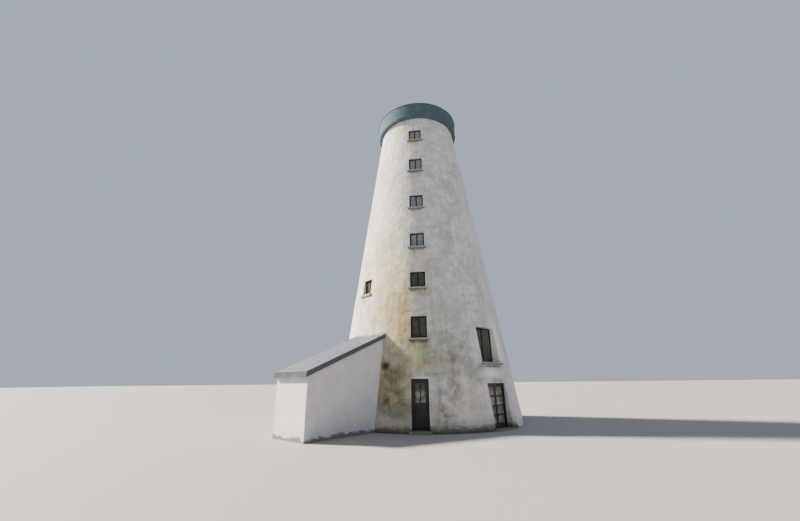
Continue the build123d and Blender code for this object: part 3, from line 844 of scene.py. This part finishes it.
def copied(piece: Piece, matrix: Matrix) -> Piece:
    """Copies a piece with its own mesh.

    Args:
        piece: The piece to copy.
        matrix: Where the copy goes, from the piece's own place.

    Returns:
        The copy.
    """
    twin = piece.copy()
    twin.data = piece.data.copy()
    twin.data.transform(matrix)
    bpy.context.scene.collection.objects.link(twin)
    return twin


def joined(name: str, pieces: list[Piece]) -> Piece:
    """Joins pieces to one mesh.

    Args:
        name: The name of the whole.
        pieces: The pieces to join.

    Returns:
        The whole.
    """
    select(*pieces)
    bpy.ops.object.join()
    piece = bpy.context.object
    piece.name = name
    return piece


def fit(piece: Piece, body: Body, material: Material) -> None:
    """Finishes a piece and reports it.

    Args:
        piece: The piece to finish.
        body: The body that it rides on.
        material: Its material.
    """
    piece.data.materials.append(material)
    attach(piece, body.value)
    LOG.info("%s: %d faces, rides on %s", piece.name, len(piece.data.polygons), body.value)


def dress(material: Material, *names: str) -> None:
    """Gives CAD nodes a material in their own slots.

    Args:
        material: The material.
        names: The nodes' names.
    """
    for name in names:
        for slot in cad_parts[name].material_slots:
            slot.material = material
        LOG.info("%s: %s", name, material.name)


@dataclass
class GlazingBeads:
    """Bevelled beads round each pane, on both faces of the glass."""

    width: float = 12 * MM
    arris: float = 2 * MM
    clearance: float = 0.3 * MM

    def ring(self, pane: Slab, room: float) -> Piece:
        """One bead ring that fills the rebate between the glass and the joinery's face.

        Args:
            pane: The pane that the bead holds.
            room: The depth of the rebate on one side of the pane.

        Returns:
            The ring about the pane's middle, outside the glass.
        """
        slack = 2 * self.clearance
        piece = block("bead", (pane.width - slack, room - self.clearance, pane.height - slack),
                      (0.0, -(pane.depth + room + self.clearance) / 2, 0.0))

        def open_up() -> None:
            """Insets both faces and joins them through the block."""
            bpy.ops.mesh.inset(thickness=self.width, depth=0.0)
            bpy.ops.mesh.bridge_edge_loops()

        work(piece, lambda face: abs(face.normal.y) > 0.9, open_up)
        soften(piece, self.arris)
        return piece

    def build(self, name: str, panes: list[Slab], room: float, body: Body, material: Material) -> None:
        """Makes the beads of some panes.

        Args:
            name: The piece's name.
            panes: The panes as the frame has them.
            room: The depth of the rebate on each side.
            body: The body that carries the panes.
            material: The joinery's finish.
        """
        rings = []
        for pane in panes:
            outside = self.ring(pane, room)
            inside = copied(outside, pane.matrix() @ Matrix.Rotation(math.pi, 4, "Z"))
            outside.data.transform(pane.matrix())
            rings += [outside, inside]
        fit(joined(name, rings), body, material)


@dataclass
class WeatherBar:
    """The bar that throws rain clear of the front door's foot, with a sloped top."""

    projection: float = 30 * MM
    height: float = 62 * MM
    slope: float = 22 * MM
    end_gap: float = 32 * MM
    lift: float = 12 * MM
    arris: float = 3 * MM

    def build(self, material: Material) -> None:
        """Makes the bar on the outer face of the front door.

        Args:
            material: The joinery's finish.
        """
        low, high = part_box("front_door_leaf")
        size = (high.x - low.x - 2 * self.end_gap, self.projection, self.height)
        top = low.z + self.lift + self.height
        centre = ((low.x + high.x) / 2, low.y - self.projection / 2, top - self.height / 2)
        bar = block("front_door_weather_bar", size, centre)
        trim(bar, (0.0, low.y, top), (0.0, -self.slope, self.projection))
        soften(bar, self.arris, 2)
        fit(bar, Body.FRONT_DOOR, material)


# The stains and the patches of painted light and shade on the front wall, in the order in which they are
# laid
FRONT_STAINS_AND_PAINTED_LIGHT = (
    # Olive and brown darkening between the annexe and the front door, densest at knee height
    WallTint(-18, 2, 1.3, 1.7, 0.75, "#D5C892", ragged=0.3),
    WallTint(-14.8, 2.38, 0.65, 0.36, 0.85, "#B0A67E", ragged=0.4),
    WallTint(-17, 1.4, 0.8, 0.9, 0.5, "#CCC09A"),
    WallTint(-19, 1.15, 0.5, 0.4, 0.6, "#B8B085"),
    WallTint(-9, 1.3, 0.35, 0.7, 0.3, "#CFC29A"),
    WallTint(-20.5, 3.25, 0.65, 0.7, 0.6, "#D2C4A6"),
    # Painted shade of a hole in the wall beside the annexe: a dark patch drawn in place of the hole
    WallTint(-20.2, 2.8, 0.28, 0.27, 1, "#544C30", ragged=0.2),
    WallTint(-7.5, 2, 0.4, 1.6, 0.45, "#D8D2AC", ragged=0.3),
    WallTint(-7.5, 0.65, 0.5, 0.55, 0.6, "#DCD3AA", ragged=0.3),
    # Green runs below the first window, and dull patches from there to the garden doors, with one patch of
    # painted warm light low on the right
    WallTint(1, 2.8, 0.9, 0.6, 0.7, "#E3E1BA", ragged=0.4),
    WallTint(-2, 3.5, 0.9, 1, 0.8, "#E2E1BC", ragged=0.4),
    WallTint(3, 3.1, 0.6, 0.7, 0.5, "#DADCBC"),
    WallTint(12, 3.9, 1.3, 1.3, 0.85, "#C9CFBF"),
    WallTint(20, 3, 1.1, 0.3, 0.5, "#C3C4A8"),
    WallTint(18, 1.8, 0.4, 0.7, 0.5, "#C4BFB2"),
    WallTint(10, 1.5, 0.14, 1, 0.5, "#B5B3AC"),
    WallTint(13, 0.6, 0.7, 0.3, 0.3, "#C0C1AA"),
    # Painted light: a warm tint low on the right of the front door, for the warm light that the sunlit
    # ground throws up
    WallTint(30, 0.5, 3, 1.3, 0.8, "#FBF3E4", ragged=0.3),
    WallTint(10, 0.8, 0.3, 0.6, 0.5, "#C4C2B6"),
    WallTint(9.5, 1.6, 0.4, 1.1, 0.45, "#D2CEC6", ragged=0.3),
    WallTint(16, 2.45, 1.1, 0.35, 0.5, "#DCD6C8", ragged=0.4),
    WallTint(15, 5.4, 1.1, 0.9, 0.45, "#D9DDCF", ragged=0.5),
    # Paler limewash over and beside the doorways, with one dull patch on it, and up the right; among these
    # are painted light at the annexe corner, right of the front door and on the shaded right, as marked
    WallTint(0.5, 2.27, 0.35, 0.06, 0.9, "#D9D5DA", Coat.WASH, 0.1),
    # Painted light: a warm pale wash at the foot between the annexe and the front door, lifting the shade
    # of that corner
    WallTint(-17.5, 0.3, 1.15, 0.38, 0.6, "#DFCBB2", Coat.WASH, 0.3),
    WallTint(-5.8, 1.6, 0.22, 0.42, 0.4, "#D8D3BA", Coat.WASH, 0.3),
    WallTint(-1.5, 3.35, 0.38, 0.6, 0.5, "#DADAB4", Coat.WASH, 0.4),
    WallTint(0, 5.22, 0.4, 0.07, 0.5, "#D9D8D4", Coat.WASH, 0.2),
    WallTint(46, 2.42, 1, 0.28, 1, "#F3F4F0", Coat.WASH, 0.4),
    # Pale patches right of the front door, partly real and partly painted light that lifts the shade above
    # the shaded floor
    WallTint(30, 1.4, 1.6, 1, 0.3, "#ECE8E6", Coat.WASH, 0.8),
    WallTint(28, 0.6, 1.1, 0.6, 0.55, "#F0E9DF", Coat.WASH, 0.4),
    WallTint(39, 1.2, 0.35, 1.1, 0.6, "#F0EBE6", Coat.WASH, 0.4),
    WallTint(19.5, 1.5, 0.34, 0.62, 0.9, "#C0B8A9", ragged=0.5),
    # Partly a pale patch and partly painted light, like the washes above
    WallTint(24, 1.6, 0.5, 0.8, 0.4, "#EAE3DA", Coat.WASH, 0.6),
    # Painted light: pale washes low on the shaded right, for light thrown up from the ground
    WallTint(60, 0.9, 0.9, 1, 0.5, "#F0EAEE", Coat.WASH, 0.4),
    WallTint(70, 1.2, 1.2, 2.2, 1, "#FBF0EE", Coat.WASH, 0.3),
    WallTint(72, 0.5, 1, 0.5, 0.8, "#FFF4F2", Coat.WASH, 0.3),
    WallTint(6.5, 5.2, 0.16, 1, 0.4, "#DCDAD4", Coat.WASH, 0.5),
    # Painted cool skylight: a lilac wash on the shaded right
    WallTint(66, 4.2, 1.5, 4.2, 0.6, "#DAD7DE", Coat.WASH, 0.25),
    # Painted light on the shaded right reveal of the tall window
    WallTint(57, 3.9, 0.75, 1.5, 0.95, "#F2F4EE", Coat.WASH, 0.2),
    # Painted cool skylight: a blue wash high on the shaded right
    WallTint(63, 10.5, 1.3, 4.5, 0.5, "#CFD5DF", Coat.WASH, 0.3),
    # Painted warm sunlight: cream and peach tints where the low sun catches old limewash on the sunlit
    # left
    WallTint(-32, 7.5, 2.6, 4.2, 0.7, "#FBF2DF", ragged=0.4),
    WallTint(-18, 5.2, 1.1, 1.3, 0.75, "#F0E2AE", ragged=0.5),
    WallTint(-13, 4.1, 1, 0.9, 0.85, "#F2E4AC", ragged=0.4),
    WallTint(-17, 6.8, 1.7, 2.3, 0.65, "#F3E8BE", ragged=0.5),
    WallTint(-9, 5.4, 0.4, 1.7, 0.75, "#E6CDAC", ragged=0.35),
    # A run below the left-hand window, and a painted shadow band under the tall window's sill that also
    # makes the sill read deeper
    WallTint(-45, 6.3, 0.4, 0.35, 0.5, "#B3B49A"),
    WallTint(47.5, 2.79, 1, 0.1, 0.5, "#AEAEA6", ragged=0.1),
    WallTint(47.5, 2.74, 0.95, 0.06, 0.9, "#9A9A90", ragged=0.1),
)


@dataclass
class Tower:
    """The round wall with its doors, windows and floors."""

    window_rebate: float = 20 * MM
    door_rebate: float = 11 * MM
    door_bead: float = 9 * MM
    stains_and_painted_light: tuple = FRONT_STAINS_AND_PAINTED_LIGHT

    def build(self, joinery: Material, glass: Material) -> None:
        """Dresses the wall and makes the glazing beads and the weather bar.

        Args:
            joinery: The finish of the windows and of the front door.
            glass: The finish of the panes.
        """
        sills = solids_of("window_sills")
        column = tuple(sorted({sill.foot for sill in sills if abs(sill.azimuth) < 1.0}))
        names = list(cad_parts)
        walls = [name for name in names if name.startswith(("storey_", "ground_main", "ground_diag"))]
        iron = [name for name in names if name.endswith(("_handle", "_hinges"))]
        panes = [name for name in names if name.endswith("_glass")]
        dress(LimewashedRender(stains_and_painted_light=self.stains_and_painted_light, sills=column).build(),
              *walls, "front_door_lintel", "side_door_lintels")
        dress(CastStone(feet=tuple(sorted({sill.foot for sill in sills}))).build(), "window_sills")
        dress(CastStone("worn step stone", "#8C857D", "#6A645C", "#4A4639", 0.7).build(), "door_steps")
        dress(PineBoards().build(), "upper_floors")
        dress(FloatedScreed().build(), "ground_floor", "annexe_floor")
        dress(BlackIron().build(), *iron)
        faded = PaintedSoftwood("faded gloss paint on softwood", "#222325", "#3C3D40").build()
        dress(joinery, "window_frames", "front_door_frame", "front_door_leaf")
        dress(faded, "garden_door_frame", "garden_door_left_leaf", "garden_door_right_leaf")
        dress(glass, *panes)

        GlazingBeads().build("window_beads", solids_of("window_glass"), self.window_rebate,
                             Body.BUILDING, joinery)
        beads = GlazingBeads(self.door_bead)
        for door, body, paint in (("front_door", Body.FRONT_DOOR, joinery),
                                  ("garden_door_left", Body.GARDEN_LEFT, faded),
                                  ("garden_door_right", Body.GARDEN_RIGHT, faded)):
            beads.build(f"{door}_beads", solids_of(f"{door}_glass"), self.door_rebate, body, paint)
        WeatherBar().build(joinery)


@dataclass
class Cap:
    """The dark boarded cap with its low round roof."""

    boards: int = 104
    board_thickness: float = 16 * MM
    board_gap: float = 4 * MM
    board_short: float = 2 * MM
    arris: float = 3 * MM
    seams: int = 24
    seam: tuple = (14 * MM, 22 * MM)
    # How far in from the rim the seams start, how near the middle they end, and their steps
    seam_start: float = 30 * MM
    seam_end: float = 0.62
    seam_steps: int = 14

    def build(self) -> None:
        """Makes the boards and the seams, and dresses the cap's nodes."""
        self.board_up()
        self.make_seams()

    def board_up(self) -> None:
        """Sets upright tarred boards round the skirt."""
        tarred = PaintedSoftwood("tarred weatherboard", "#465B66", "#627884", roughness=0.7,
                                 index=1.12).build()
        dress(tarred, "cap_soffit", "cap_skirt")
        low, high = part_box("cap_skirt")
        width = 2 * math.pi * high.x / self.boards - self.board_gap
        size = (width, self.board_thickness, high.z - low.z - self.board_short)
        centre = (0.0, -high.x - self.board_thickness / 2, (low.z + high.z) / 2)
        board = block("cap_boards", size, centre)
        soften(board, self.arris)
        around(board, self.boards)
        fit(board, Body.BUILDING, tarred)

    def make_seams(self) -> None:
        """Sets standing seams up the dome, each a thin bar swept along the dome's own circle."""
        sheet = SheetLead("dark roofing sheet", "#22272F", "#323841", 0.7, 0.0, 1.12).build()
        dress(sheet, "cap_roof")
        low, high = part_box("cap_roof")
        rise, rim = high.z - low.z, high.x
        dome = (rim ** 2 + rise ** 2) / (2 * rise)
        middle = (0.0, 0.0, high.z - dome)
        start = math.asin((rim - self.seam_start) / dome)
        end = math.asin(self.seam_end / dome)
        width, height = self.seam
        bar = block("cap_seams", (width, height, 2 * MM), (0.0, -dome - height / 2, middle[2]))
        to_middle = Matrix.Translation(middle)
        lean = Matrix.Rotation(-(math.pi / 2 - start), 4, "X")
        bar.data.transform(to_middle @ lean @ to_middle.inverted())
        top = max(face.center.z for face in bar.data.polygons)
        work(bar, lambda face: face.center.z > top - 1e-5, lambda: bpy.ops.mesh.spin(
            steps=self.seam_steps, angle=start - end, center=middle, axis=(1, 0, 0)))
        around(bar, self.seams)
        fit(bar, Body.BUILDING, sheet)


@dataclass
class Annexe:
    """The lean-to with its slated mono-pitch roof."""

    azimuth: float = -33.3
    left: float = -1.39
    right: float = 0.88
    # The roof's height at one distance from the tower's axis, and its fall for each metre outwards
    reference: float = 4.5
    height: float = 4.25
    fall: float = 0.41
    eaves: float = 8.77
    head: float = 4.05
    gauge: float = 205 * MM
    slate_length: float = 460 * MM
    slate_thickness: float = 5 * MM
    arris: float = 1.2 * MM
    joint: float = 3 * MM
    columns: int = 9
    verge_gap: float = 1.5 * MM

    def build(self) -> None:
        """Dresses the annexe and lays its slates."""
        dress(SmoothRender().build(), "annexe_side_walls", "annexe_end_wall")
        verge = PaintedSoftwood("gloss paint on verge board", "#424852", "#5C626C").build()
        dress(verge, "annexe_roof_boards")
        dress(SheetLead().build(), "annexe_flashing")
        self.lay_slates()

    def slope(self) -> Matrix:
        """The roof's own axes: x across, y down the slope and z off the roof.

        Returns:
            The matrix from the roof's reference line to the house's frame.
        """
        across = Vector((1.0, 0.0, 0.0))
        down = Vector((0.0, -1.0, -self.fall)).normalized()
        off = across.cross(down)
        if off.z < 0:
            off = -off
        axes = Matrix((across, down, off)).transposed().to_4x4()
        at = Matrix.Translation((0.0, -self.reference, self.height))
        return Matrix.Rotation(math.radians(self.azimuth), 4, "Z") @ at @ axes

    def lay_slates(self) -> None:
        """Lays courses of slates with broken joints from the eaves to the tower."""
        finish = RoofingSlate().build()
        dress(finish, "annexe_roof")
        stretch = math.hypot(1.0, self.fall)
        low, high = (self.head - self.reference) * stretch, (self.eaves - self.reference) * stretch
        pitch = (self.right - self.left) / self.columns
        length, thickness = self.slate_length, self.slate_thickness
        slate = block("slates", (pitch - self.joint, length, thickness),
                      (self.left + pitch / 2, high - length / 2, thickness / 2))
        head = Matrix.Translation((0, high - length, 0))
        tilt = Matrix.Rotation(math.atan2(2 * thickness, length), 4, "X")
        slate.data.transform(head @ tilt @ head.inverted())
        soften(slate, self.arris)
        offset = copied(slate, Matrix.Translation((-pitch / 2, -self.gauge, 0.0)))
        row(slate, self.columns, (pitch, 0.0, 0.0))
        row(offset, self.columns + 1, (pitch, 0.0, 0.0))
        roof = joined("annexe_slates", [slate, offset])
        row(roof, math.ceil((high - low) / (2 * self.gauge)), (0.0, -2 * self.gauge, 0.0))
        trim(roof, (self.left + self.verge_gap, 0, 0), (-1, 0, 0))
        trim(roof, (self.right - self.verge_gap, 0, 0), (1, 0, 0))
        roof.data.transform(self.slope())
        fit(roof, Body.BUILDING, finish)


@dataclass
class Studio:
    """The plain floor, soft light and camera."""

    floor_size: float = 900.0
    eye: tuple = (1.212, -21.205, 2.10)
    pitch: float = 19.09
    heading: float = 7.85
    roll: float = -0.6
    lens: float = 15.75
    shift: float = 0.00625
    far: float = 2000.0
    sun: str = "#FFEEDA"
    sun_heading: float = 98.0
    sun_height: float = 35.0
    sun_power: float = 20.0
    sun_spread: float = 7.0
    sky: str = "#D6E0F4"
    sky_power: float = 0.68

    def build(self) -> None:
        """Adds the floor, the light and the camera."""
        self.lay_floor()
        self.light()
        self.aim()

    def lay_floor(self) -> None:
        """Lays the floor under the building."""
        bpy.ops.object.select_all(action="DESELECT")
        bpy.ops.mesh.primitive_plane_add(size=self.floor_size, location=(0.0, 0.0, 0.0))
        floor = bpy.context.object
        floor.name = "floor"
        floor.data.materials.append(StudioPaper().build())

    def light(self) -> None:
        """Adds an even sky and a low sun from the left."""
        world = bpy.data.worlds.new("soft sky")
        world.use_nodes = True
        world.node_tree.nodes.clear()
        sky = node(world.node_tree, "Background", {"Color": self.sky, "Strength": self.sky_power})
        node(world.node_tree, "OutputWorld", {"Surface": sky.outputs[0]})
        bpy.context.scene.world = world

        sun = bpy.data.lights.new("key", "SUN")
        sun.energy = self.sun_power
        sun.angle = math.radians(self.sun_spread)
        sun.color = linear(self.sun)[:3]
        lamp = bpy.data.objects.new("key", sun)
        lamp.rotation_euler = (math.radians(90.0 - self.sun_height), 0.0, -math.radians(self.sun_heading))
        bpy.context.scene.collection.objects.link(lamp)

    def aim(self) -> None:
        """Aims the camera up at the tower from eye height."""
        lens = bpy.data.cameras.new("camera")
        lens.lens = self.lens
        lens.shift_x = self.shift
        lens.clip_end = self.far
        camera = bpy.data.objects.new("camera", lens)
        turn = (Matrix.Rotation(math.radians(self.heading), 4, "Z")
                @ Matrix.Rotation(math.radians(90.0 + self.pitch), 4, "X")
                @ Matrix.Rotation(math.radians(self.roll), 4, "Z"))
        camera.matrix_world = Matrix.Translation(self.eye) @ turn
        bpy.context.scene.collection.objects.link(camera)
        bpy.context.scene.camera = camera


def main() -> None:
    """Builds each part of the house."""
    logging.basicConfig(level=logging.INFO, format="%(name)s: %(message)s")
    joinery = PaintedSoftwood().build()
    glass = FloatGlass().build()
    Tower().build(joinery, glass)
    Cap().build()
    Annexe().build()
    Studio().build()
    bpy.context.view_layer.update()


if __name__ == "__main__":
    main()
